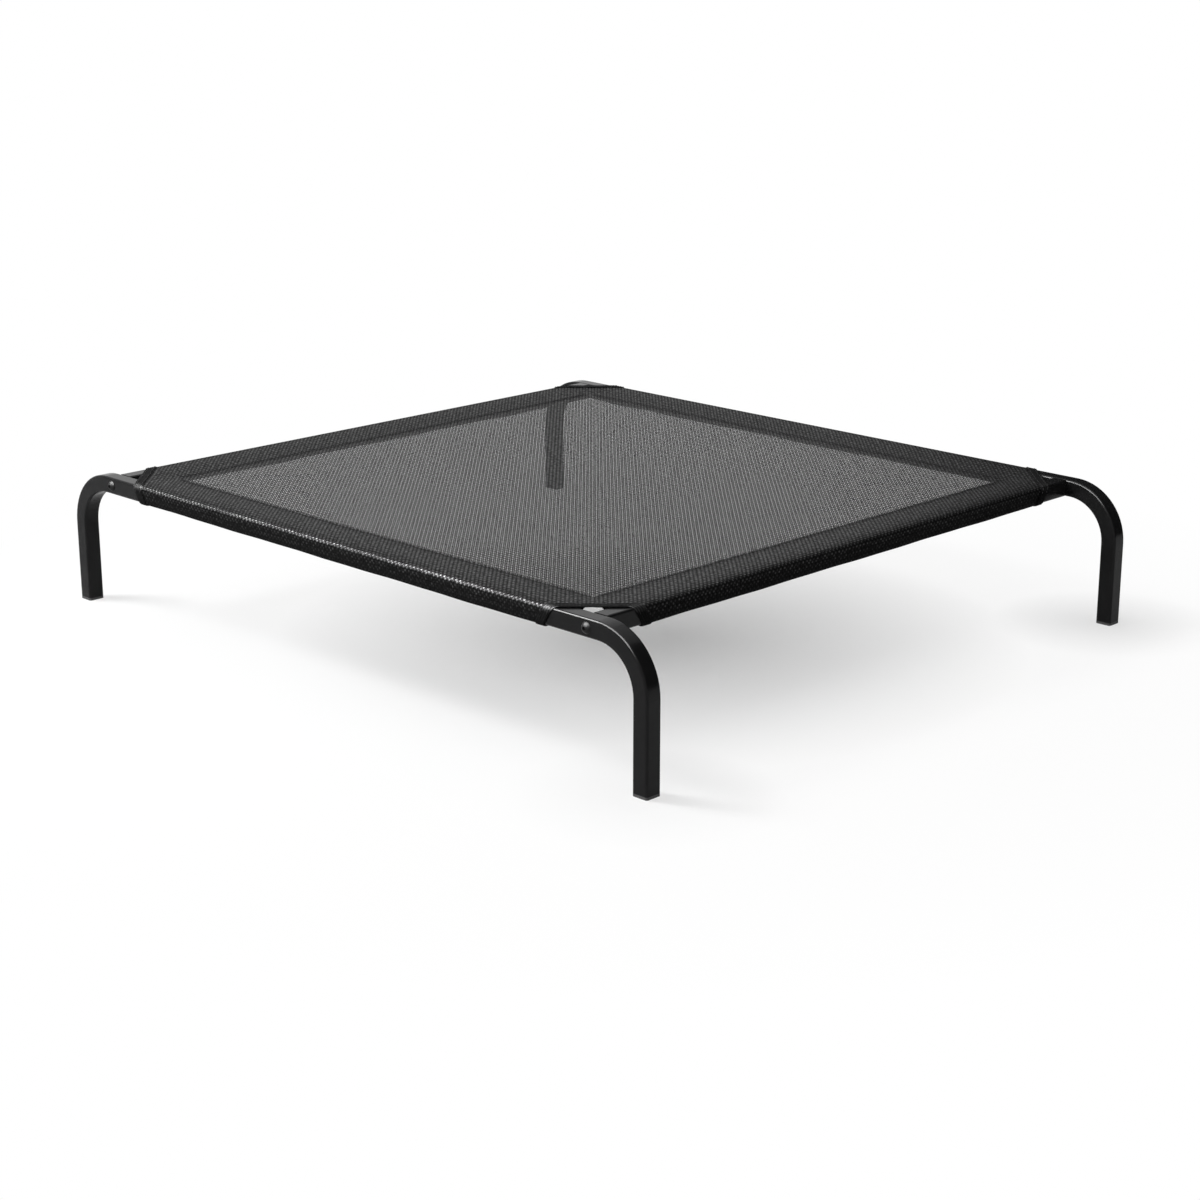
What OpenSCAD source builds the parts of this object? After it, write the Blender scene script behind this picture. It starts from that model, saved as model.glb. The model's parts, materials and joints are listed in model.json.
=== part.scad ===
// Raised dog cot: two bent leg frames, two side rails and a stretched mesh bed.
// X runs along the leg frames, Y along the side rails, the floor is Z = 0.

/* [Frame] */
// Length over the outer faces of the legs, along X
cot_w = 920; // [700:10:1200]
// Depth over the outer faces of the two leg frames, along Y
cot_d = 775; // [560:5:1000]
// Height of the tops of the tubes above the floor
cot_h = 158; // [140:1:260]
// Outside size of the square tube
tube = 19; // [16:1:22]
// Wall thickness of the tube
wall = 1.2; // [1:0.1:1.6]
// Outside corner radius of the tube
tube_r = 2.5; // [1.8:0.1:3]
// Inside corner radius of the tube
bore_r = 1.3; // [0.6:0.1:1.6]
// Radius of each leg bend, to the middle of the tube
bend_r = 55; // [46:1:64]
// Straight tube left between the end of a bend and the side rail
rail_gap = 4; // [1:1:20]

/* [Fasteners] */
// Thread diameter of the corner bolts
bolt_d = 6; // [5:1:6]
// Clearance of the bolt holes in the leg frames
hole_gap = 0.6; // [0.4:0.1:1]
// Length of bolt thread that sits in a rail plug
bolt_grip = 12; // [8:1:13]
// Diameter of the domed bolt head
head_d = 12; // [9:0.5:13]
// Height of the domed bolt head
head_h = 3.6; // [2.4:0.1:4]
// Width across the flats of the hex socket
socket = 4; // [3:0.5:5]
// Depth of the hex socket
socket_in = 2; // [1.4:0.1:2.2]
// Chamfer at the tip of each bolt
bolt_tip = 0.8; // [0.4:0.1:1.2]
// Length of the threaded plug in each rail end
plug_len = 14; // [14:1:30]

/* [Feet] */
// Thickness of the foot cap under the tube
foot_t = 3; // [2:0.5:6]
// Depth of the foot cap inside the tube
foot_in = 18; // [14:1:30]
// Wall of the hollow stem of the foot cap
stem_wall = 1.6; // [1.2:0.1:2]
// Number of gripping fins on each foot cap
fins = 3; // [1:1:3]
// Thickness of a fin
fin_t = 1.2; // [0.8:0.1:1.6]
// How far a fin stands out from the stem
fin_out = 0.6; // [0.4:0.1:0.8]

/* [Fabric] */
// Thickness of the mesh fabric
cloth_t = 1; // [0.8:0.1:1.4]
// Slack between the fabric and the tube
cloth_gap = 0.2; // [0.1:0.1:0.4]
// How far a sleeve hangs below the bottom of its tube
drop = 1.6; // [1.4:0.1:4]
// Inside radius of the fabric where it bends under a tube
under_r = 3; // [2:0.1:4]
// Length over which a flap grows out of the bottom of its sleeve
flap_lap = 2; // [1:0.1:3]
// Short side of the open triangle left in each corner of the bed
corner_cut = 18; // [12:1:40]
// Width of each hem, from the outer face of the tube to its inner seam
hem_w = 60; // [50:1:80]
// Width of the double layer at the inner seam
seam_w = 8; // [5:1:12]
// Slope of the sleeve ends from upright, in degrees
end_slope = 32; // [20:1:45]
// How far each hem flap stops short of the top end of its sleeve
flap_in = 18; // [18:1:60]
// Width of the tape on each cut corner
tape_w = 10; // [6:1:14]
// Thickness of the tape
tape_t = 0.8; // [0.5:0.1:1]

/* [Hidden] */
$fn = 48;

bore = tube - 2 * wall;
// Outer face of a side rail, measured in from the outer face of a leg
rail_in = bend_r + tube / 2 + rail_gap;
rail_x = cot_w / 2 - rail_in - tube / 2;
rail_len = cot_d - 2 * tube;
frame_y = cot_d / 2 - tube / 2;
bend_z = cot_h - tube / 2 - bend_r;
mid_len = cot_w - tube - 2 * bend_r;
hole_d = bolt_d + hole_gap;
bolt_len = tube + bolt_grip;

// Fabric heights: underside and top of the bed, and the lowest line of a sleeve
bed_z = cot_h + cloth_gap;
top_z = bed_z + cloth_t;
low_z = cot_h - tube - drop;
skin = cloth_gap + cloth_t;
// Bends of the fabric round the top and bottom edges of a tube
fold_r = tube_r + skin;
low_r = under_r + cloth_t;
// Where the cut edge crosses the outer edge of each rail, from the outer faces of the cot
cut_x = rail_in + 2 * tube + corner_cut - tube_r;
cut_y = 2 * tube + corner_cut - tube_r;
big = 4 * (cot_w + cot_d);
// How far a cutting shape reaches past the faces that it opens
over = 1;

FL = [-1, -1];
FR = [1, -1];
RL = [-1, 1];
RR = [1, 1];

// Puts a shape drawn for the rear right corner into corner c
module in_corner(c)
    mirror([c[0] < 0 ? 1 : 0, 0, 0]) mirror([0, c[1] < 0 ? 1 : 0, 0]) children();

module rounded(side, r) {
    square([side - 2 * r, side], center = true);
    square([side, side - 2 * r], center = true);
    for (x = [-1, 1], y = [-1, 1])
        translate([x, y] * (side / 2 - r)) circle(r);
}

module tube_section() difference() {
    rounded(tube, tube_r);
    rounded(bore, bore_r);
}

// One side of a bent leg frame: straight leg and bend, drawn for +X
module leg_and_bend() {
    translate([cot_w / 2 - tube / 2, 0, foot_t]) linear_extrude(bend_z - foot_t) tube_section();
    translate([mid_len / 2, 0, bend_z]) rotate([90, 0, 0])
        rotate_extrude(angle = 90, $fn = 96) translate([bend_r, 0]) tube_section();
}

// Bent tube with a leg at each end and a pair of bolt holes near each bend
module leg_frame(side) color("#1c1c1d") translate([0, side * frame_y, 0]) difference() {
    union() {
        leg_and_bend();
        mirror([1, 0, 0]) leg_and_bend();
        translate([-mid_len / 2, 0, cot_h - tube / 2]) rotate([0, 90, 0])
            linear_extrude(mid_len) tube_section();
    }
    for (x = [-rail_x, rail_x])
        translate([x, tube, cot_h - tube / 2]) rotate([90, 0, 0]) cylinder(d = hole_d, h = 2 * tube);
}

// Straight side rail between the inner faces of the two leg frames
module side_rail(side) color("#1c1c1d")
    translate([side * rail_x, rail_len / 2, cot_h - tube / 2]) rotate([90, 0, 0])
        linear_extrude(rail_len) tube_section();

// Threaded steel plug, flush with the end of a side rail
module plug(c) color("#77777a") in_corner(c)
    translate([rail_x, rail_len / 2, cot_h - tube / 2]) rotate([90, 0, 0]) difference() {
        linear_extrude(plug_len) rounded(bore, bore_r);
        translate([0, 0, -over]) cylinder(d = bolt_d, h = plug_len + 2 * over);
    }

// Domed bolt with a hex socket, its head on the outer face of the leg frame
module bolt(c) color("#2a2a2b") in_corner(c)
    translate([rail_x, cot_d / 2, cot_h - tube / 2]) rotate([90, 0, 0]) {
        dome_r = (head_d * head_d / 4 + head_h * head_h) / (2 * head_h);
        difference() {
            intersection() {
                translate([0, 0, dome_r - head_h]) sphere(dome_r, $fn = 96);
                translate([0, 0, -head_h]) cylinder(d = head_d, h = head_h);
            }
            translate([0, 0, -head_h - over])
                cylinder(d = socket / cos(30), h = socket_in + over, $fn = 6);
        }
        cylinder(d = bolt_d, h = bolt_len - bolt_tip);
        translate([0, 0, bolt_len - bolt_tip])
            cylinder(d1 = bolt_d, d2 = bolt_d - 2 * bolt_tip, h = bolt_tip);
    }

// Plastic foot cap: a pad under the leg and a hollow stem with gripping fins inside it
module foot(c) color("#101011") in_corner(c) translate([cot_w / 2 - tube / 2, frame_y, 0]) {
    stem = bore - 2 * fin_out;
    hollow = stem - 2 * stem_wall;
    linear_extrude(foot_t) rounded(tube, tube_r);
    translate([0, 0, foot_t]) linear_extrude(foot_in) difference() {
        rounded(stem, bore_r);
        square(hollow, center = true);
    }
    for (i = [1 : fins])
        translate([0, 0, foot_t + i * foot_in / (fins + 1)]) linear_extrude(fin_t) difference() {
            rounded(bore, bore_r);
            square(hollow, center = true);
        }
}

// Half plane of the bed plan inside the cut edge of the rear right corner
module inside_cut(shift = 0)
    translate([cot_w / 2 - cut_x, cot_d / 2 - tube_r]) rotate(-45)
        translate([-big / 2, -big - shift]) square(big);

// Plan of the bed as far as the bends of its fabric
module bed_square() square([cot_w - 2 * rail_in, cot_d] - 2 * tube_r * [1, 1], center = true);

// The same plan with its four corners cut off
module bed_plan() intersection() {
    bed_square();
    inside_cut();
    mirror([1, 0]) inside_cut();
    mirror([0, 1]) inside_cut();
    mirror([1, 0]) mirror([0, 1]) inside_cut();
}

// Single layer of mesh across the tops of all four tubes
module bed_panel() color("#3a3a3c") translate([0, 0, bed_z]) linear_extrude(cloth_t) bed_plan();

// Fabric bend from straight up to straight along, round the point (x, z)
module fold(x, z, r, t, turn) translate([x, z]) rotate(turn) intersection() {
    difference() {
        circle(r);
        circle(r - t);
    }
    square(r);
}

// Section of a sleeve: x runs inward from the outer face of the tube
module wrap_section() {
    fold(tube_r, cot_h - tube_r, fold_r, cloth_t, 90);
    translate([-skin, low_z + low_r]) square([cloth_t, cot_h - tube_r - low_z - low_r]);
    fold(low_r - skin, low_z + low_r, low_r, cloth_t, 180);
    translate([low_r - skin, low_z]) square([tube - low_r, cloth_t]);
}

// The flap that rises from the bottom of the sleeve to its seam under the bed
module flap_section() {
    start = tube - flap_lap - skin;
    polygon([[start, low_z], [start + flap_lap, low_z],
        [hem_w - seam_w + cloth_t, bed_z - cloth_t], [hem_w, bed_z - cloth_t],
        [hem_w, bed_z], [hem_w - seam_w, bed_z],
        [start + flap_lap / 2, low_z + cloth_t], [start, low_z + cloth_t]]);
}

// Stands a section up along +Y, its x inward from the plane y = 0
module along_rail(len) rotate([90, 0, 90]) translate([0, 0, -len / 2]) linear_extrude(len) children();

// Block whose two ends, d from the middle at the bed, slope inward going down
module sloped_block(d) intersection_for(side = [0, 1])
    mirror([side, 0, 0]) translate([d, 0, top_z]) rotate([0, end_slope, 0])
        translate([-big, -big / 2, -big / 2]) cube(big);

// Keeps the part of a wrap between its slanted ends
module between_ends(d) intersection() {
    children();
    sloped_block(d);
}

// Fabric sleeve round one rail, drawn for the front and turned into place
module sleeve(len, cut) color("#29292b") {
    between_ends(len / 2 - cut) along_rail(len) wrap_section();
    along_rail(len - 2 * (cut + flap_in)) flap_section();
}

module front_place(side) rotate(side > 0 ? 180 : 0) translate([0, -cot_d / 2, 0]) children();
module side_place(side) rotate(side > 0 ? 90 : -90) translate([0, rail_in - cot_w / 2, 0]) children();

module frame_sleeve(side) front_place(side) sleeve(cot_w, cut_x);
module rail_sleeve(side) side_place(side) sleeve(cot_d, cut_y);

// Section of the tape where it runs down the outer face of a sleeve, with a lap on the bed
module tail_section() {
    fold(tube_r, cot_h - tube_r, fold_r + tape_t, tape_t, 90);
    translate([-skin - tape_t, low_z + low_r]) square([tape_t, cot_h - tube_r - low_z - low_r]);
    translate([tube_r, top_z]) square(tape_t);
}

// Tape down one sloped end of a sleeve, at the end on the side of x given by half
module tail(len, cut, half) intersection() {
    along_rail(len) tail_section();
    difference() {
        sloped_block(len / 2 - cut);
        sloped_block(len / 2 - cut - tape_w / cos(end_slope));
    }
    translate([half > 0 ? 0 : -big, -big / 2, -big / 2]) cube(big);
}

// Tape that binds one cut corner and runs down both sleeve ends beside it
module tape(c) color("#1f1f21") in_corner(c) {
    translate([0, 0, top_z]) linear_extrude(tape_t) difference() {
        bed_plan();
        inside_cut(tape_w);
    }
    translate([0, 0, bed_z]) linear_extrude(cloth_t + tape_t) difference() {
        intersection() {
            bed_square();
            inside_cut(-tape_t);
        }
        inside_cut();
    }
    front_place(1) tail(cot_w, cut_x, -1);
    side_place(1) tail(cot_d, cut_y, 1);
}

leg_frame(-1);  // front_leg_frame
leg_frame(1);  // rear_leg_frame
side_rail(-1);  // left_rail
side_rail(1);  // right_rail
plug(FL);  // front_left_plug
plug(FR);  // front_right_plug
plug(RL);  // rear_left_plug
plug(RR);  // rear_right_plug
bolt(FL);  // front_left_bolt
bolt(FR);  // front_right_bolt
bolt(RL);  // rear_left_bolt
bolt(RR);  // rear_right_bolt
foot(FL);  // front_left_foot
foot(FR);  // front_right_foot
foot(RL);  // rear_left_foot
foot(RR);  // rear_right_foot
bed_panel();
frame_sleeve(-1);  // front_sleeve
frame_sleeve(1);  // rear_sleeve
rail_sleeve(-1);  // left_sleeve
rail_sleeve(1);  // right_sleeve
tape(FL);  // front_left_tape
tape(FR);  // front_right_tape
tape(RL);  // rear_left_tape
tape(RR);  // rear_right_tape
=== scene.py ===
import json
import math

import bpy
import numpy as np
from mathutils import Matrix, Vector

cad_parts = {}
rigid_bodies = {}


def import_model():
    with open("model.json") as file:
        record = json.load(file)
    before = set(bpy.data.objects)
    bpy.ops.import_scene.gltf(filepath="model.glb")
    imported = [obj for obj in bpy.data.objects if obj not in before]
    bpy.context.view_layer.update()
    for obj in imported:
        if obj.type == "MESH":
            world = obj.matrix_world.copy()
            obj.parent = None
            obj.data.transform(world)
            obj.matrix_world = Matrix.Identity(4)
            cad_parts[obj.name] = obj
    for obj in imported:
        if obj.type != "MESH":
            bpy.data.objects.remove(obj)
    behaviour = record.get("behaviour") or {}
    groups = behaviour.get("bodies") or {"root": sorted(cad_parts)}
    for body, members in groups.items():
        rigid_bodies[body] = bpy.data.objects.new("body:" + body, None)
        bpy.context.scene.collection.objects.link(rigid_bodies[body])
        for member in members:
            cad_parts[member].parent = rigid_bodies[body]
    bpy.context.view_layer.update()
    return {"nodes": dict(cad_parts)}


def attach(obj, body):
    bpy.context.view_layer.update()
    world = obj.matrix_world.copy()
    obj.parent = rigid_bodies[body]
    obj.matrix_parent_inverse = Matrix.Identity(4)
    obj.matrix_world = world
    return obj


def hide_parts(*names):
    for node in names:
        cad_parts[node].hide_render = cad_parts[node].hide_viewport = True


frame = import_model()
scene = bpy.context.scene
scene.view_settings.view_transform = "Standard"


# Camera
# A long lens some 2.7 m from the middle of the cot, off its front right corner and about 0.6 m
# above the bed, aimed so that the cot stands in the frame as it does in the picture.
EYE = (1.8508, -1.8460, 0.7963)
EYE_TURN, EYE_DOWN = math.radians(44.85), math.radians(16.70)
LENS, SENSOR = 70.95, 36.0  # in mm
camera = bpy.data.objects.new("camera", bpy.data.cameras.new("camera"))
camera.data.sensor_width = SENSOR
camera.data.lens = LENS
camera.location = EYE
camera.rotation_euler = (math.pi / 2 - EYE_DOWN, 0.0, EYE_TURN)
scene.collection.objects.link(camera)
scene.camera = camera


# Leg frames and side rails
# Square steel tube with a black powder coat: two lengths bent into legs at both ends, and two
# straight rails bolted between them. The coat is baked on, so it has a fine orange peel.
class Wire:
    """One socket of a finish. Sums, products and the methods add Math nodes behind it."""

    def __init__(self, finish, socket):
        self.finish, self.socket = finish, socket

    def sum(self, operation, *inputs):
        """A Math node on the given values or wires."""
        return self.finish.add("ShaderNodeMath", {"operation": operation}, dict(enumerate(inputs)))

    def __add__(self, other):
        return self.sum("ADD", self, other)

    def __sub__(self, other):
        return self.sum("SUBTRACT", self, other)

    def __rsub__(self, other):
        return self.sum("SUBTRACT", other, self)

    def __mul__(self, other):
        return self.sum("MULTIPLY", self, other)

    def __truediv__(self, other):
        return self.sum("DIVIDE", self, other)

    def __abs__(self):
        return self.sum("ABSOLUTE", self)

    def __lt__(self, other):
        return self.sum("LESS_THAN", self, other)

    __radd__, __rmul__ = __add__, __mul__

    def over(self, other):
        """The larger of the two values."""
        return self.sum("MAXIMUM", self, other)

    def floor(self):
        """The whole number below."""
        return self.sum("FLOOR", self)

    def root(self):
        """Square root, and 0 below 0."""
        return self.sum("SQRT", self.over(0.0))

    def cosine(self):
        """Cosine of an angle in radians."""
        return self.sum("COSINE", self)

    def part(self, axis):
        """X, Y or Z of a vector."""
        return self.finish.add("ShaderNodeSeparateXYZ", {}, {0: self}, out=axis)

    def ramp(self, low, high, to_low=0.0, to_high=1.0):
        """Straight line from to_low at low to to_high at high, flat past both."""
        return self.finish.add(
            "ShaderNodeMapRange", {"clamp": True},
            {0: self, 1: low, 2: high, 3: to_low, 4: to_high},
        )


class Finish:
    """A procedural material: a Principled shader, its plain numbers, and the nodes behind it."""

    def __init__(self, name, **plain):
        self.material = bpy.data.materials.new(name)
        self.material.use_nodes = True
        self.tree = self.material.node_tree
        self.shader = self.tree.nodes["Principled BSDF"]
        for socket, value in plain.items():
            self.shader.inputs[socket.replace("_", " ")].default_value = value

    def add(self, kind, settings, inputs, out=0):
        """Adds a node: its settings, then a value or a wire for each named or numbered socket."""
        node = self.tree.nodes.new(kind)
        for name, value in settings.items():
            setattr(node, name, value)
        for name, value in inputs.items():
            if isinstance(value, Wire):
                self.tree.links.new(value.socket, node.inputs[name])
            else:
                node.inputs[name].default_value = value
        return Wire(self, node.outputs[out])

    def feed(self, socket, wire):
        """Links a wire to a socket of the shader."""
        self.tree.links.new(wire.socket, self.shader.inputs[socket])

    def place(self):
        """Object coordinates, in metres."""
        return self.add("ShaderNodeTexCoord", {}, {}, out="Object")

    def noise(self, where, size, detail=2.0, rough=0.5):
        """Noise from 0 to 1 with blotches about size metres across."""
        return self.add(
            "ShaderNodeTexNoise", {},
            {"Vector": where, "Scale": 1 / size, "Detail": detail, "Roughness": rough},
        )

    def tint(self, share, dark, light):
        """Colour between dark at 0 and light at 1."""
        return self.add(
            "ShaderNodeMix", {"data_type": "RGBA"},
            {0: share, 6: (*dark, 1.0), 7: (*light, 1.0)}, out=2,
        )

    def raise_by(self, height, depth, strength):
        """Bump of depth metres for each unit of height."""
        inputs = {"Height": height, "Distance": depth, "Strength": strength}
        self.feed("Normal", self.add("ShaderNodeBump", {}, inputs))


def coat_node(names, finish):
    """Puts a finish on CAD nodes that stay as they are."""
    for name in names:
        for slot in frame["nodes"][name].material_slots:
            slot.material = finish.material


PEEL, PEEL_DEPTH, CLOUD = 0.0011, 0.00003, 0.045  # orange peel, and the drifts in the coat
COAT_DARK, COAT_LIGHT = (0.008, 0.008, 0.0083), (0.014, 0.014, 0.0144)
powder_coat = Finish("powder_coat", IOR=1.5, Specular_IOR_Level=0.09)
where = powder_coat.place()
peel = powder_coat.noise(where, PEEL, 3.0, 0.55)
cloud = powder_coat.noise(where, CLOUD, 3.0, 0.6)
powder_coat.feed("Base Color", powder_coat.tint(cloud, COAT_DARK, COAT_LIGHT))
powder_coat.feed("Roughness", cloud * 0.06 + peel * 0.05 + 0.12)
powder_coat.raise_by(peel, PEEL_DEPTH, 0.5)
coat_node(["front_leg_frame", "rear_leg_frame", "left_rail", "right_rail"], powder_coat)


# Threaded plugs
# Zinc-plated steel slugs pressed into the rail ends to take the corner bolts. Only their thread
# ends can be seen, with the cot taken apart.
SPANGLE = 0.0016
ZINC_DARK, ZINC_LIGHT = (0.36, 0.36, 0.37), (0.52, 0.52, 0.54)
CORNERS = [front + side for front in ("front_", "rear_") for side in ("left", "right")]
zinc = Finish("zinc_plate", Metallic=1.0)
spangle = zinc.noise(zinc.place(), SPANGLE, 4.0, 0.6)
zinc.feed("Base Color", zinc.tint(spangle, ZINC_DARK, ZINC_LIGHT))
zinc.feed("Roughness", spangle * 0.25 + 0.25)
coat_node([corner + "_plug" for corner in CORNERS], zinc)


# Corner bolts
# Button head bolts with a hex socket, through the leg frames into the rail plugs. They are black
# plated, with the plating rubbed a little paler in fine patches.
RUB, RUB_DEPTH = 0.0009, 0.00003
PLATE_DARK, PLATE_LIGHT = (0.006, 0.006, 0.0062), (0.020, 0.020, 0.0206)
bolt_black = Finish("black_plate", Specular_IOR_Level=0.12)
rub = bolt_black.noise(bolt_black.place(), RUB, 4.0, 0.65)
bolt_black.feed("Base Color", bolt_black.tint(rub, PLATE_DARK, PLATE_LIGHT))
bolt_black.feed("Roughness", rub * 0.2 + 0.30)
bolt_black.raise_by(rub, RUB_DEPTH, 0.4)
coat_node([corner + "_bolt" for corner in CORNERS], bolt_black)


# Foot caps
# Moulded black plastic caps pressed into the leg ends, with a spark-eroded grain that turns paler
# and rougher where the cap stands on the floor.
GRAIN, GRAIN_DEPTH = 0.0005, 0.00005
SCUFF, SCUFF_H = 0.004, 0.0025  # size of the scuffs, and how high they reach
CAP_DARK, CAP_SCUFFED = (0.010, 0.010, 0.0105), (0.045, 0.044, 0.042)
cap_plastic = Finish("cap_plastic", IOR=1.46)
where = cap_plastic.place()
grain = cap_plastic.noise(where, GRAIN, 2.0, 0.6)
low_down = where.part("Z").ramp(0.0, SCUFF_H, 1.0, 0.0)
scuff = low_down * cap_plastic.noise(where, SCUFF, 4.0, 0.7)
cap_plastic.feed("Base Color", cap_plastic.tint(scuff, CAP_DARK, CAP_SCUFFED))
cap_plastic.feed("Roughness", grain * 0.12 + scuff * 0.2 + 0.48)
cap_plastic.raise_by(grain, GRAIN_DEPTH, 0.5)
coat_node([corner + "_foot" for corner in CORNERS], cap_plastic)


# Bed panel
# One layer of open mesh, woven from pairs of coated yarns and pulled tight across the four tubes,
# with its corners cut off. It lies flat on the tubes and sags a little between them.
TUBE = 0.019  # side of the square tubes
COT_W, COT_D, COT_H = 0.920, 0.775, 0.158
RAIL_IN = 0.0685  # outer face of a side rail, from the outer face of a leg
CLOTH_OFF = 0.0007  # middle of the cloth above the tube
FOLD_R = 0.0041  # radius of the cloth's folds over the tubes, less CLOTH_OFF
BED_X, BED_Y = COT_W / 2 - RAIL_IN, COT_D / 2  # outer faces of the covered tubes
FOLD_X, FOLD_Y = BED_X - FOLD_R, BED_Y - FOLD_R  # where the cloth starts to fold down
CUT = 0.0478  # size of each cut corner along X and along Y
SLEEVE_LOW, UNDER_R, UNDER_FLAT = 0.1379, 0.0035, 0.004  # height, bend and flat of a sleeve's base
FLAP_SHORT, UNDER_SHORT = 0.001, 0.0015  # flap's start and base's edge, short of the inner face
FLAP_FROM, FLAP_TO = 0.08, 0.95  # part of the way to the seam that the flap is drawn straight
HEM_W, SEAM_W, SEAM_DOWN = 0.060, 0.008, 0.0009  # hem, its sewn edge, and that edge's drop
HEM_DIP, SAG = 0.0030, 0.0013  # how far the hems pull the bed down, and its own sag past that
DIP_FROM, DIP_OVER = 0.014, 0.050  # how far in from the outer faces that dip starts, and its length
LOOSE_FROM, LOOSE_OVER, SEAM_HOLD = 0.010, 0.012, 0.03  # where a sleeve can sway, along its run
SWAYS = ((0.0002, 0.031, 0.6), (0.0001, 0.0117, 1.9))  # height, length / 2 pi and start of a wave
PULL_H, PULL_FADE, PULL_EDGE, PULL_WAVE = 0.00035, 0.07, 0.012, 0.021  # ripples at the corners
ARC, FLAT_COUNT, FLAP_COUNT = 24, 9, 20  # points on each bend, flat and flap of a sleeve's section
BED_COUNT = 97  # points each way on the bed


def smooth(x):
    """0 up to 0, 1 from 1, and an S curve between."""
    x = np.clip(x, 0.0, 1.0)
    return x * x * (3 - 2 * x)


def arc(centre, radius, start, end):
    """Points on a circle between two angles in degrees."""
    angle = np.radians(np.linspace(start, end, ARC))
    return np.stack([centre[0] + radius * np.cos(angle), centre[1] + radius * np.sin(angle)], 1)


def run_along(line):
    """Distance run along a line of points, from its first point to each."""
    return np.concatenate([[0.0], np.cumsum(np.linalg.norm(np.diff(line, axis=0), axis=1))])


def sleeve_section():
    """Section of a sleeve as (inward, up): round the top edge of the tube, down its outer face,
    round under it, and up again as a flap to the seam under the bed."""
    corner = np.array([TUBE - FLAP_SHORT, SLEEVE_LOW])
    seam = np.array([HEM_W - SEAM_W, COT_H + CLOTH_OFF - SEAM_DOWN])
    line = np.concatenate([
        arc((FOLD_R, COT_H - FOLD_R), FOLD_R + CLOTH_OFF, 90, 180),
        arc((UNDER_R - CLOTH_OFF, SLEEVE_LOW + UNDER_R), UNDER_R, 180, 270),
        corner + np.linspace(-UNDER_FLAT, 0.0, FLAT_COUNT)[:, None] * [1.0, 0.0],
        corner + np.linspace(FLAP_FROM, FLAP_TO, FLAP_COUNT)[:, None] * (seam - corner),
        seam + np.linspace(0.0, SEAM_W, FLAT_COUNT)[:, None] * [1.0, 0.0],
    ])
    flap = 2 * ARC
    for _ in range(2):
        line[flap + 1:-1] = (line[flap:-2] + 2 * line[flap + 1:-1] + line[flap + 2:]) / 4
    return line


SECTION = sleeve_section()
RUN = run_along(SECTION)
FLAP_RUN, FLAP_IN = RUN[2 * ARC:], SECTION[2 * ARC:, 0]  # the part past the bend under the tube
RUN_TOP = RUN[ARC - 1]  # where the fold ends and the outer face starts
RUN_FACE = RUN[ARC]  # where the outer face ends and the cloth turns under the tube
RUN_BEND = RUN[2 * ARC - 1]  # where that turn ends
RUN_UNDER = np.interp(TUBE - UNDER_SHORT, FLAP_IN, FLAP_RUN)  # inner edge of the underside
RUN_SEAM = RUN[-1]  # inner edge of the hem


def on_cloth(u, v, lift=0.0):
    """Where the point (u, v) of the flat cloth lies on the cot: on the bed as far as the folds, and
    past a fold along the section of that sleeve. Lift moves it along the cloth's outer normal. The
    bed dips and sags by S curves of the distance from the tubes, and ripples by a cosine across
    the corners; the sleeves sway by sines along them."""
    u, v, lift = np.broadcast_arrays(*[np.asarray(value, float) for value in (u, v, lift)])
    past_x, past_y = np.abs(u) - FOLD_X, np.abs(v) - FOLD_Y
    past = np.maximum(np.maximum(past_x, past_y), 0.0)
    inward = np.interp(past, RUN, SECTION[:, 0])
    up = np.interp(past, RUN, SECTION[:, 1])
    step = 2e-4
    back, ahead = np.maximum(past - step, 0.0), past + step
    slope_in = np.interp(ahead, RUN, SECTION[:, 0]) - np.interp(back, RUN, SECTION[:, 0])
    slope_up = np.interp(ahead, RUN, SECTION[:, 1]) - np.interp(back, RUN, SECTION[:, 1])
    size = np.maximum(np.hypot(slope_in, slope_up), 1e-9)
    on_bed = past <= 0.0
    out_in = np.where(on_bed, 0.0, slope_up / size)
    out_up = np.where(on_bed, 1.0, -slope_in / size)
    front_or_rear = past_y > past_x
    along = np.where(front_or_rear, u, v)
    loose = smooth((past - LOOSE_FROM) / LOOSE_OVER) * smooth((RUN_SEAM - past) / SEAM_HOLD)
    sway = sum(height * np.sin(along / length + start) for height, length, start in SWAYS)
    inward = inward + (lift + loose * sway) * out_in
    up = up + (lift + loose * sway) * out_up
    x = np.where(on_bed | front_or_rear, u, np.sign(u) * (BED_X - inward))
    y = np.where(on_bed | ~front_or_rear, v, np.sign(v) * (BED_Y - inward))
    in_x, in_y = BED_X - np.abs(x), BED_Y - np.abs(y)
    dip = HEM_DIP * smooth((in_x - DIP_FROM) / DIP_OVER) * smooth((in_y - DIP_FROM) / DIP_OVER)
    dip = dip + SAG * smooth(in_x / BED_X) * smooth(in_y / BED_Y)
    reach = (FOLD_X + FOLD_Y - CUT - np.abs(u) - np.abs(v)) / math.sqrt(2)
    across = (np.abs(u) - np.abs(v)) / math.sqrt(2)
    off_tubes = smooth((np.minimum(in_x, in_y) - TUBE) / PULL_EDGE)
    pull = PULL_H * np.exp(-np.maximum(reach, 0) / PULL_FADE) * off_tubes
    ripple = pull * np.cos(2 * np.pi * across / PULL_WAVE)
    sewn = smooth((inward - TUBE) / (HEM_W - SEAM_W - TUBE)) * (past > RUN_UNDER)
    z = np.where(on_bed, COT_H + CLOTH_OFF + lift - dip + ripple, up - sewn * dip)
    return np.stack([x, y, z], -1)


def grid(u, v):
    """Two arrays over rows and columns as one patch of flat points."""
    return np.stack(np.broadcast_arrays(u, v), -1)


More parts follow.
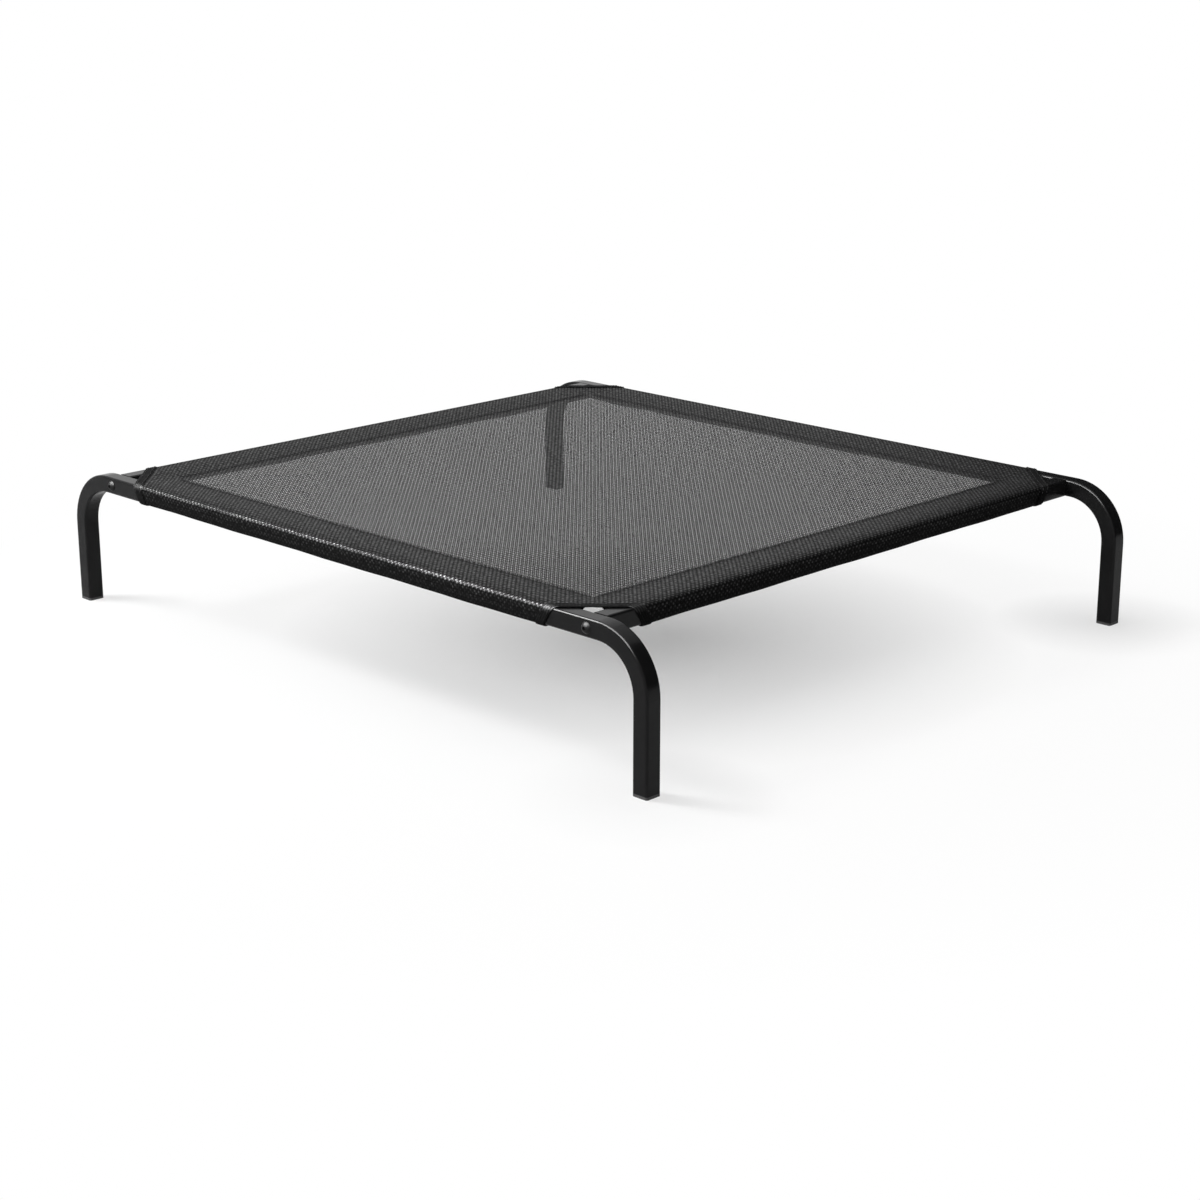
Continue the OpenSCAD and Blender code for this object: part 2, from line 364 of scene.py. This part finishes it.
def grid_faces(rows, columns, first=0):
    """Four-sided faces between the points of a grid, numbered row by row from first."""
    index = first + np.arange(rows * columns).reshape(rows, columns)
    faces = [index[:-1, :-1], index[:-1, 1:], index[1:, 1:], index[1:, :-1]]
    return np.stack(faces, -1).reshape(-1, 4)


def smooth_object(name, points, faces):
    """Smooth mesh of the given faces, as an object in the scene."""
    mesh = bpy.data.meshes.new(name)
    mesh.from_pydata(points.tolist(), [], faces)
    mesh.polygons.foreach_set("use_smooth", np.ones(len(mesh.polygons), bool))
    piece = bpy.data.objects.new(name, mesh)
    scene.collection.objects.link(piece)
    return piece


def cloth_object(name, points, faces, flat):
    """Smooth mesh of four-sided faces, with the flat place of each point as the UV map "cut"."""
    piece = smooth_object(name, points, faces.tolist())
    cut = piece.data.uv_layers.new(name="cut")
    cut.data.foreach_set("uv", flat[faces.ravel()].astype(np.float32).ravel())
    return piece


def weld_patches(name, patches, place=on_cloth):
    """Joins grids of flat points into one smooth mesh, put in place by the given function. Each
    patch is an array of (u, v) over rows and columns. Points that coincide are one vertex, faces
    that turn the wrong way are reversed, and (u, v) is kept as the UV map."""
    flat, faces, first = [], [], 0
    for patch in patches:
        rows, columns = patch.shape[:2]
        faces.append(grid_faces(rows, columns, first))
        flat.append(patch.reshape(-1, 2))
        first += rows * columns
    flat, faces = np.concatenate(flat), np.concatenate(faces)
    _, keep, same = np.unique(np.round(flat, 6), axis=0, return_index=True, return_inverse=True)
    flat, faces = flat[keep], same.reshape(-1)[faces]
    edge_1 = flat[faces[:, 2]] - flat[faces[:, 0]]
    edge_2 = flat[faces[:, 3]] - flat[faces[:, 1]]
    turned = edge_1[:, 0] * edge_2[:, 1] - edge_1[:, 1] * edge_2[:, 0] < 0
    faces[turned] = faces[turned][:, ::-1]
    return cloth_object(name, place(flat[:, 0], flat[:, 1]), faces, flat)


def flat_cloth(finish):
    """Place on the flat cloth, from the UV map "cut" in metres, with its two parts."""
    flat_place = finish.add("ShaderNodeUVMap", {"uv_map": "cut"}, {})
    return flat_place, flat_place.part("X"), flat_place.part("Y")


YARN_PITCH = 0.00283  # from one pair of yarns to the next
YARN_HALF, YARN_SHIFT = 0.345, 0.08  # half a pair's width and its lean to the next, in pitches
WANDER, WANDER_SIZE = 0.16, 0.007  # how far the yarns' edges wander, in pitches, and over what run
BLOTCH, FLECK, SPARK, WEAVE_DEPTH = 0.06, 0.0012, 0.0045, 0.0004  # noise sizes, and depth of bump
ROUND, CROSSING = 0.6, 0.4  # shares of a yarn's height from its own round and from the crossing
YARN_DARK, YARN_LIGHT = (0.001, 0.001, 0.001), (0.014, 0.014, 0.0144)
mesh_fabric = Finish(
    "mesh_fabric", IOR=1.5, Specular_IOR_Level=0.02, Coat_Roughness=0.46, Coat_IOR=1.7,
)
flat_place, flat_u, flat_v = flat_cloth(mesh_fabric)
across, along = flat_u / YARN_PITCH, flat_v / YARN_PITCH
warp_turn, weft_turn = [(at.floor() * math.pi).cosine() for at in (across, along)]
warp_at = across - across.floor() - 0.5 + warp_turn * YARN_SHIFT
weft_at = along - along.floor() - 0.5 - weft_turn * YARN_SHIFT
turn = warp_turn * weft_turn  # 1 where the warp lies on top, and -1 where the weft does
warp_off, weft_off = abs(warp_at), abs(weft_at)


def pair_height(off):
    """Two round yarns side by side: 1 on top of each, 0 between and at their edges."""
    share = (off - YARN_HALF / 2) / (YARN_HALF / 2)
    return (1 - share * share).root()


warp_up = pair_height(warp_off) * ROUND + turn * (weft_at * math.pi).cosine() * CROSSING
weft_up = pair_height(weft_off) * ROUND - turn * (warp_at * math.pi).cosine() * CROSSING
slack = mesh_fabric.noise(flat_place, WANDER_SIZE, 2.0, 0.6) * WANDER + (YARN_HALF - WANDER / 2)
warp_there, weft_there = warp_off < slack, weft_off < slack
weave_height = (warp_up + 1.0) * warp_there
weave_height = weave_height.over((weft_up + 1.0) * weft_there)
blotch = mesh_fabric.noise(flat_place, BLOTCH, 3.0, 0.6)
fleck = mesh_fabric.noise(flat_place, FLECK, 3.0, 0.7)
spark = mesh_fabric.noise(flat_place, SPARK, 1.0, 0.5).ramp(0.35, 0.65, 0.3, 1.0)
# Painted highlight and shade in the yarn colour: lighter on the crowns of the yarns, lighter still
# where the warp lies on top, and darker towards the edges of the yarns and in the grooves. Crown
# also weights the coat.
crown = turn * 0.35 + 0.65
painted_yarn_shading = weave_height.ramp(0.7, 2.0) * crown * (fleck * 0.5 + 0.6) * (blotch * 0.4 + 0.8)

# The folds are rubbed to single bright beads, from 12 mm inside them to about where their bend
# ends. Past the folds, on the outer faces, undersides and flaps, the yarn colour is painted darker
# as shade, and the cloth is dull, with faint beads that fade downwards.
past_fold = (abs(flat_u) - FOLD_X).over(abs(flat_v) - FOLD_Y)
rubbed = past_fold.ramp(-0.012, 0.0) * past_fold.ramp(0.006, 0.010, 1.0, 0.0)
face = past_fold.ramp(0.005, 0.009)
dull = past_fold.ramp(0.004, 0.009, 1.0, 0.02)
fade = past_fold.ramp(0.008, 0.019, 0.50, 0.12)
# Painted shade: past the folds the yarn colour is cut to a fifth.
shown = painted_yarn_shading * (spark * 0.6 + 0.4) * (1 - face * 0.8)
beads = weave_height.ramp(1.5, 1.9) * (turn * 0.47 + 0.53)
fold_beads = beads * rubbed * blotch.ramp(0.35, 0.65, 0.4, 1.0) * (spark * 0.8 - 0.05)
gloss = weave_height.ramp(1.25, 1.85) * crown * spark * (1 - rubbed * 0.75)
gloss = dull * (gloss + fold_beads) + beads * face * fade * spark.ramp(0.45, 1.0)
# Painted shade: the closed gaps take the dark yarn colour in place of the shade seen through them.
closed = 1 - (past_fold < RUN_TOP)  # past the folds the gaps are closed, with no holes
mesh_fabric.feed("Base Color", mesh_fabric.tint(shown, YARN_DARK, YARN_LIGHT))
mesh_fabric.feed("Roughness", 0.62 - painted_yarn_shading * 0.14)
mesh_fabric.feed("Coat Weight", gloss.ramp(0.0, 1.0))
mesh_fabric.feed("Alpha", warp_there.over(weft_there).over(closed))
mesh_fabric.raise_by(weave_height, WEAVE_DEPTH, 0.8)

shares = np.linspace(-1, 1, BED_COUNT)
v = shares[:, None] * FOLD_Y
wide = np.minimum(FOLD_X, FOLD_X - CUT + FOLD_Y - np.abs(v))
bed_panel = weld_patches("bed_mesh", [grid(shares[None, :] * wide, v)])
bed_panel.data.materials.append(mesh_fabric.material)
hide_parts("bed_panel")
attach(bed_panel, "root")


# Sleeves
# The four edges of the same cloth, folded down over the tubes and under them, and sewn back to the
# underside of the bed. Their ends slope in from the cut corners, and the flaps meet in mitres.
END_SLOPE = math.tan(math.radians(32))
END_STRAIGHT = 0.002  # the slope goes on this far past the outer face
SLEEVE_COUNT = 137  # points along a sleeve
SECTION_STEPS = np.unique(np.concatenate([
    np.linspace(0, RUN_TOP, 8), np.linspace(RUN_TOP, RUN_FACE, 8),
    np.linspace(RUN_FACE, RUN_BEND, 7), np.linspace(RUN_BEND, RUN_UNDER, 5),
]))
FLAP_STEPS = np.linspace(RUN_UNDER, RUN_SEAM, 16)
SIDES = (  # name, distance of the fold, half the length of the fold, and the tube inside
    ("front", FOLD_Y, FOLD_X - CUT, "front_leg_frame"),
    ("rear", FOLD_Y, FOLD_X - CUT, "rear_leg_frame"),
    ("left", FOLD_X, FOLD_Y - CUT, "left_rail"),
    ("right", FOLD_X, FOLD_Y - CUT, "right_rail"),
)


def turned_to(side, flat):
    """Turns flat points drawn for the front sleeve to the front, right, rear or left."""
    u, v = flat[..., 0], flat[..., 1]
    turns = {"front": (u, v), "right": (-v, u), "rear": (-u, -v), "left": (v, -u)}
    return grid(*turns[side])


def end_of_sleeve(half, run):
    """How far from the middle a sleeve ends: in from the cut corner along its slope, and straight
    under the tube."""
    return half - END_SLOPE * np.minimum(run, RUN_FACE + END_STRAIGHT)


def end_of_flap(half, run):
    """How far from the middle a flap ends: as far as the top of its sleeve, and in along the mitre
    with the next flap where they meet."""
    return np.minimum(half, half + CUT + FOLD_R - np.interp(run, FLAP_RUN, FLAP_IN))


for side, fold, half, beam in SIDES:
    steps = np.concatenate([SECTION_STEPS, FLAP_STEPS[1:]])
    ends = np.where(steps > RUN_UNDER, end_of_flap(half, steps), end_of_sleeve(half, steps))
    shares = np.linspace(-1, 1, SLEEVE_COUNT)
    flat = grid(shares[None, :] * ends[:, None], -fold - steps[:, None])
    sleeve = weld_patches(side + "_mesh_sleeve", [turned_to(side, flat)])
    sleeve.data.materials.append(mesh_fabric.material)
    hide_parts(side + "_sleeve")
    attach(sleeve, "root")
    2 * ends.max()
    float(np.sum((ends[1:] + ends[:-1]) * np.diff(steps)))


# Corner tapes
# Close woven tape folded over each cut edge of the cloth and down the two sleeve ends beside it,
# and sewn through near both of its edges.
TAPE_W, TAPE_LIFT, TAPE_UNDER = 0.010, 0.0010, -0.0004  # width, and lift of its two layers
TAPE_TAIL, TAPE_EASE = 0.008, 0.012  # reach past the outer face, and the run its width eases over
TAPE_EDGE, TAPE_SHARE, TAPE_BULGE = 0.0006, 0.02, 0.07  # inner edge's lift, and shares at its fold
FOLD_MID = 0.0045  # from the start of a sleeve's fold to its middle, along the tape
TAIL_COUNT, CUT_COUNT = 14, 30  # points along each tail and along the cut
RIB, PICK, FUZZ, RIB_DEPTH = 0.0026, 0.0011, 0.0008, 0.0004  # pitches, fuzz, and depth of the bump
TAPE_DARK, TAPE_LIGHT = (0.001, 0.001, 0.001), (0.008, 0.008, 0.0082)
tape_cloth = Finish("ribbed_tape", IOR=1.48, Specular_IOR_Level=0.02, Coat_Roughness=0.45)
flat_place, tape_along, tape_across = flat_cloth(tape_cloth)
ribs = abs((tape_across * (math.pi / RIB)).cosine())
picks = abs((tape_along * (math.pi / PICK)).cosine())
fuzz = tape_cloth.noise(flat_place, FUZZ, 3.0, 0.7)
knit = ribs * 0.7 + picks * 0.3
tape_cloth.feed("Base Color", tape_cloth.tint(knit * (fuzz * 0.6 + 0.5), TAPE_DARK, TAPE_LIGHT))
tape_cloth.feed("Roughness", 0.82 - knit * 0.12)
tape_cloth.raise_by(knit + fuzz * 0.3, RIB_DEPTH, 0.8)


def signs(corner):
    """Which way a named corner lies along X and Y."""
    return [1 if corner.endswith("right") else -1, 1 if corner.startswith("rear") else -1]


def tape_edges():
    """Outer and inner edges of the tape of the rear right corner as flat points, station by
    station: up the end of the rear sleeve, along the cut, and down the end of the right sleeve."""
    tail = np.linspace(RUN_FACE + TAPE_TAIL, 0.0, TAIL_COUNT)
    slant = TAPE_W * math.hypot(1.0, END_SLOPE)
    rear = end_of_sleeve(FOLD_X - CUT, tail)
    side = end_of_sleeve(FOLD_Y - CUT, tail[::-1])
    cut = np.linspace(0, CUT, CUT_COUNT)[1:-1]
    ease = np.interp(tail, [0, TAPE_EASE], [TAPE_W * math.sqrt(2), slant])
    outer = np.concatenate([
        grid(rear, FOLD_Y + tail), grid(FOLD_X - CUT + cut, FOLD_Y - cut),
        grid(FOLD_X + tail[::-1], side),
    ])
    shift = np.concatenate([
        grid(-ease, 0.0 * tail), np.full((len(cut), 2), -TAPE_W / math.sqrt(2)),
        grid(0.0 * tail, -ease[::-1]),
    ])
    return outer, outer + shift


def tape_profile():
    """Section of the folded tape as (share across, lift): its top from the inner edge to the cut,
    the fold round the cut edge, and its underside back again."""
    top = grid(np.linspace(1.0, TAPE_SHARE, 9), TAPE_LIFT)
    top[0, 1] = TAPE_EDGE
    middle, bend = (TAPE_LIFT + TAPE_UNDER) / 2, (TAPE_LIFT - TAPE_UNDER) / 2
    angle = np.radians(np.linspace(75, -75, 6))
    fold = grid(-TAPE_BULGE * np.cos(angle), middle + bend * np.sin(angle))
    return np.concatenate([top, fold, grid(np.linspace(TAPE_SHARE, 0.9, 6), TAPE_UNDER)])


OUTER, INNER = tape_edges()
TAPE_RUN = run_along(OUTER)
TAPE_MID = TAPE_RUN[-1] / 2
TAPE_TURN = TAPE_MID - TAPE_RUN[TAIL_COUNT - 1] + FOLD_MID  # from the middle to a fold
from_fold = abs(abs(tape_along - TAPE_MID) - TAPE_TURN)
tape_cloth.feed("Coat Weight", from_fold.ramp(0.002, 0.006, 0.5, 0.0) * knit)

PROFILE = tape_profile()
TAPE_WIDTH = run_along(PROFILE * [TAPE_W, 1.0])
for corner in CORNERS:
    across_x, across_y = signs(corner)
    place = OUTER[:, None] + PROFILE[None, :, :1] * (INNER - OUTER)[:, None]
    points = on_cloth(place[..., 0] * across_x, place[..., 1] * across_y, PROFILE[None, :, 1])
    faces = grid_faces(*points.shape[:2])
    if across_x * across_y < 0:
        faces = faces[:, ::-1]
    flat = grid(TAPE_RUN[:, None], TAPE_WIDTH[None, :]).reshape(-1, 2)
    tape = cloth_object(corner + "_binding", points.reshape(-1, 3), faces, flat)
    tape.data.materials.append(tape_cloth.material)
    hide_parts(corner + "_tape")
    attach(tape, "root")


# Corner patches
# A piece of close cloth like the tape under each corner of the bed, caught in the tape. Its two
# inner edges turn down and are sewn to the ends of the flaps, so no light comes through there.
PATCH_IN, PATCH_CUT, PATCH_UNDER = 0.0194, 0.067, -0.0005  # inset, cut corner, and lift
MOUTH = CUT + FOLD_R + 0.001  # where the patch turns down, 1 mm past the ends of the flaps
PATCH_COUNT, DOWN_COUNT = 15, 7  # points each way under the bed, and down a mouth


def on_patch(u, v):
    """Where a point of the flat patch lies: under the bed as far as the mouths of the hems, and
    past a mouth straight down from there."""
    into_x, into_y = BED_X - np.abs(u), BED_Y - np.abs(v)
    flat_x, flat_y = np.minimum(into_x, MOUTH), np.minimum(into_y, MOUTH)
    points = on_cloth(np.sign(u) * (BED_X - flat_x), np.sign(v) * (BED_Y - flat_y), PATCH_UNDER)
    points[..., 2] -= np.maximum(np.maximum(into_x, into_y) - MOUTH, 0.0)
    return points


into = np.linspace(PATCH_IN, MOUTH, PATCH_COUNT)
into_x = np.maximum(PATCH_IN, PATCH_CUT - into[:, None])
into_x = into_x + np.linspace(0, 1, PATCH_COUNT)[None, :] * (MOUTH - into_x)
mouth_top = on_patch(BED_X - into, np.full(PATCH_COUNT, BED_Y - MOUTH))[:, 2]
flap_top = on_cloth(FOLD_X + np.interp(into, FLAP_IN, FLAP_RUN), BED_Y - MOUTH)[:, 2]
mouth_drop = mouth_top - flap_top
down = MOUTH + np.linspace(0, 1, DOWN_COUNT)[:, None] * mouth_drop
patch_flat = [
    grid(BED_X - into_x, BED_Y - into[:, None]),
    grid(BED_X - into, BED_Y - down),
    grid(BED_X - down, BED_Y - into),
]
patch_side = MOUTH - PATCH_IN
patch_area = patch_side ** 2 - (PATCH_CUT - 2 * PATCH_IN) ** 2 / 2
patch_area += float(np.sum((mouth_drop[1:] + mouth_drop[:-1]) * np.diff(into)))
for corner in CORNERS:
    mirrored = [flat * signs(corner) for flat in patch_flat]
    patch = weld_patches(corner + "_patch", mirrored, on_patch)
    patch.data.materials.append(tape_cloth.material)
    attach(patch, "root")


# Sewing thread
# Black bonded thread in two rows along each hem seam, through the bed and the flap, and in two rows
# along each tape. Every stitch is a short arch that dips into the cloth at both ends.
THREAD_R, TWIST = 0.00028, 0.0006  # radius of the thread, and size of its twist
ARCH_UP, ARCH_DIP, STITCH_SHARE = 0.00028, 0.0006, 0.40  # height, fall, half length in pitches
RINGS, RING_SIDES = 5, 5  # rings on a stitch, and points on a ring
HEM_PITCH, HEM_ROWS, HEM_END = 0.0042, (0.002, 0.0062), 0.003  # rows from the hem's edge, bare end
HEM_LIFTS = (0.0005, -0.0016)  # on the bed, and under the flap
TAPE_PITCH, TAPE_ROWS, TAPE_BARE = 0.0034, (0.16, 0.84), 8  # rows in widths, bare points at an end
TAPE_STITCH = TAPE_LIFT + 0.0001  # just above the tape
THREAD_DARK, THREAD_LIGHT = (0.006, 0.006, 0.0062), (0.020, 0.020, 0.0206)
thread = Finish("bonded_thread", IOR=1.5, Specular_IOR_Level=0.08)
twist = thread.noise(thread.place(), TWIST, 2.0, 0.6)
thread.feed("Base Color", thread.tint(twist, THREAD_DARK, THREAD_LIGHT))
thread.feed("Roughness", twist * 0.2 + 0.45)


def stitches(line, pitch, lift):
    """Stitches along a line of flat points, lifted off the cloth: rings of points for each, on an
    arch whose height falls off as the square of the distance from its middle."""
    run = run_along(line)
    count = int(run[-1] / pitch)
    middle = (np.arange(count) + 0.5) * run[-1] / count
    share = np.linspace(-1, 1, RINGS)
    at = middle[:, None] + share[None, :] * pitch * STITCH_SHARE
    u, v = np.interp(at, run, line[:, 0]), np.interp(at, run, line[:, 1])
    height = lift + math.copysign(1.0, lift) * (ARCH_UP - ARCH_DIP * share ** 2)[None, :]
    centre = on_cloth(u, v, height)
    ahead = np.gradient(centre, axis=1)
    ahead /= np.linalg.norm(ahead, axis=-1, keepdims=True)
    up = on_cloth(u, v, height + 1e-4) - on_cloth(u, v, height - 1e-4)
    up /= np.linalg.norm(up, axis=-1, keepdims=True)
    across = np.cross(ahead, up)
    angle = np.linspace(0, 2 * np.pi, RING_SIDES + 1)[:-1]
    ring = np.cos(angle)[:, None] * across[:, :, None] + np.sin(angle)[:, None] * up[:, :, None]
    return centre[:, :, None] + THREAD_R * ring


def tube_faces(rings, sides):
    """Faces round a tube of rings, with sides points in each."""
    ring, side = np.arange(rings - 1)[:, None] * sides, np.arange(sides)[None, :]
    following = (side + 1) % sides
    faces = [ring + side, ring + following, ring + sides + following, ring + sides + side]
    return np.stack(faces, -1).reshape(-1, 4)


def thread_piece(name, rows):
    """One mesh of all the given stitches: tubes of rings, closed at both ends."""
    points = np.concatenate(rows)
    first = RINGS * RING_SIDES * np.arange(len(points))[:, None, None]
    quads = (tube_faces(RINGS, RING_SIDES)[None] + first).reshape(-1, 4)
    end = np.arange(RING_SIDES)
    caps = np.stack([end[::-1], (RINGS - 1) * RING_SIDES + end])
    caps = (caps[None] + first).reshape(-1, RING_SIDES)
    faces = quads[:, ::-1].tolist() + caps[:, ::-1].tolist()
    piece = smooth_object(name, points.reshape(-1, 3), faces)
    piece.data.materials.append(thread.material)
    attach(piece, "root")


for side, fold, half, _ in SIDES:
    ends = np.array([-1.0, 1.0]) * (half + CUT + FOLD_R - HEM_W - HEM_END)
    rows = [
        stitches(turned_to(side, grid(ends, -fold - FOLD_R + HEM_W - inset)), HEM_PITCH, lift)
        for inset in HEM_ROWS for lift in HEM_LIFTS
    ]
    thread_piece(side + "_hem_stitches", rows)

for corner in CORNERS:
    lines = [OUTER + share * (INNER - OUTER) for share in TAPE_ROWS]
    rows = [
        stitches(line[TAPE_BARE:-TAPE_BARE] * signs(corner), TAPE_PITCH, TAPE_STITCH)
        for line in lines
    ]
    thread_piece(corner + "_tape_stitches", rows)


# Floor and light
# A pale seamless floor under a dim sky, with a soft lamp high on the left, a wide one overhead and
# a broad one in front for the gloss. Floor and sky are white where seen, and the floor keeps the
# shadow.
FLOOR_R, FLOOR_RINGS, FLOOR_SIDES = 40.0, 24, 96
FLOOR_TONE, SEEN_WHITE = 0.93, 0.35  # colour, and the share of plain white at the darkest place
SHADOW_AT = (0.12, -0.03, 0.0)  # darkest place of the floor
FOOT_AT = (0.4505, 0.378, 0.0)  # middle of a foot, without its signs
FILL, FILL_LEFT = 0.25, 0.15  # level of the sky, and its gain on the left and loss on the right


def floor_disc():
    """Flat rings of points round the middle, closer together near it as the cube of their share."""
    reach = FLOOR_R * np.linspace(0, 1, FLOOR_RINGS + 1)[1:] ** 3
    angle = np.linspace(0, 2 * np.pi, FLOOR_SIDES, endpoint=False)
    x, y = np.outer(reach, np.cos(angle)), np.outer(reach, np.sin(angle))
    points = np.stack([x, y, np.zeros_like(x)], -1).reshape(-1, 3)
    quads = tube_faces(FLOOR_RINGS, FLOOR_SIDES)[:, [0, 3, 2, 1]]
    mesh = bpy.data.meshes.new("floor")
    mesh.from_pydata(points.tolist(), [], quads.tolist() + [list(range(FLOOR_SIDES))])
    return mesh


pale_floor = Finish(
    "pale_floor", Roughness=0.9, Base_Color=(FLOOR_TONE, FLOOR_TONE, FLOOR_TONE, 1.0),
    Specular_IOR_Level=0.0,
)


def seen(finish):
    """1 for a ray from the camera, off a gloss or through a clear piece, and 0 for other light."""
    camera_ray, gloss_ray, clear_ray = [
        finish.add("ShaderNodeLightPath", {}, {}, out=name)
        for name in ("Is Camera Ray", "Is Glossy Ray", "Is Transmission Ray")
    ]
    return camera_ray.over(gloss_ray).over(clear_ray)


def floor_distance(place, point):
    """Distance from a place on the floor to a point."""
    return pale_floor.add(
        "ShaderNodeVectorMath", {"operation": "DISTANCE"}, {0: place, 1: point}, out="Value",
    )


where = pale_floor.place()
far = floor_distance(where, SHADOW_AT)
one_corner = pale_floor.add("ShaderNodeVectorMath", {"operation": "ABSOLUTE"}, {0: where})
foot_far = floor_distance(one_corner, FOOT_AT)
# Painted shadow in part: the white glow is least round SHADOW_AT and round the feet and full far
# off, so this mask sets how far the rendered shadow reaches and how dark it stays.
white = far.ramp(0.03, 0.42, SEEN_WHITE, 0.90) + far.ramp(0.5, 0.9, 0.0, 0.10)
white = white * foot_far.ramp(0.02, 0.13, 0.70, 1.0) * seen(pale_floor)
shaded = Wire(pale_floor, pale_floor.shader.outputs[0])
glow = pale_floor.add("ShaderNodeEmission", {}, {"Strength": 1.0})
mixed = pale_floor.add("ShaderNodeMixShader", {}, {0: white, 1: shaded, 2: glow})
pale_floor.tree.links.new(
    mixed.socket, pale_floor.tree.nodes["Material Output"].inputs["Surface"]
)
floor = bpy.data.objects.new("floor", floor_disc())
scene.collection.objects.link(floor)
floor.data.materials.append(pale_floor.material)

# A folded black card behind the right end, unseen itself, which darkens the faces turned to it.
CARD_X, CARD_Y, CARD_Z = (-1.1, 0.5, 2.3), (2.2, 2.2, 0.3), (0.01, 2.4)
card_mesh = bpy.data.meshes.new("black_card")
card_points = [(x, y, z) for z in CARD_Z for x, y in zip(CARD_X, CARD_Y)]
card_mesh.from_pydata(card_points, [], [(0, 1, 4, 3), (1, 2, 5, 4)])
black_card = Finish(
    "black_card", Base_Color=(0.0, 0.0, 0.0, 1.0), Specular_IOR_Level=0.0, Roughness=1.0,
)
card_mesh.materials.append(black_card.material)
card = bpy.data.objects.new("black_card", card_mesh)
card.visible_camera = False
scene.collection.objects.link(card)


class Sky(Finish):
    """The world: its Background shader, and the nodes behind it."""

    def __init__(self, name):
        scene.world = bpy.data.worlds.new(name)
        scene.world.use_nodes = True
        self.tree = scene.world.node_tree
        self.shader = self.tree.nodes["Background"]


sky = Sky("studio")
sky.shader.inputs["Color"].default_value = (1.0, 1.0, 1.0, 1.0)
direction = sky.add("ShaderNodeTexCoord", {}, {}, out="Generated")
fill = direction.part("X").ramp(-1.0, 1.0, FILL + FILL_LEFT, FILL - FILL_LEFT)
sky.feed("Strength", seen(sky).ramp(0.0, 1.0, fill, 1.0))

# The lamp for the gloss lights no diffuse colour, and leaves out the flat bed, which would glare
# when it is seen from behind.
for name, place, aim, width, height, power in (
    ("left_softbox", (-1.26, -1.08, 1.82), (0, 0, 0), 0.6, 0.6, 45.0),
    ("top_softbox", (-0.1, 0.0, 2.6), (-0.1, 0.01, 0), 3.0, 3.0, 30.0),
    ("gloss_strip", (-0.45, -1.54, 1.80), (-0.45, -0.38, 0.14), 3.2, 1.8, 700.0),
):
    lamp = bpy.data.objects.new(name, bpy.data.lights.new(name, "AREA"))
    lamp.data.shape = "RECTANGLE"
    lamp.data.size, lamp.data.size_y = width, height
    lamp.data.energy = power
    lamp.location = place
    lamp.rotation_euler = (Vector(aim) - Vector(place)).to_track_quat("-Z", "Y").to_euler()
    lamp.visible_camera = False
    scene.collection.objects.link(lamp)
    if name == "gloss_strip":
        lamp.visible_diffuse = False
        lit_pieces = bpy.data.collections.new("off_the_flat_bed")
        lamp.light_linking.receiver_collection = lit_pieces
        for piece in list(scene.objects):
            if piece.type == "MESH" and piece != bed_panel:
                lit_pieces.objects.link(piece)
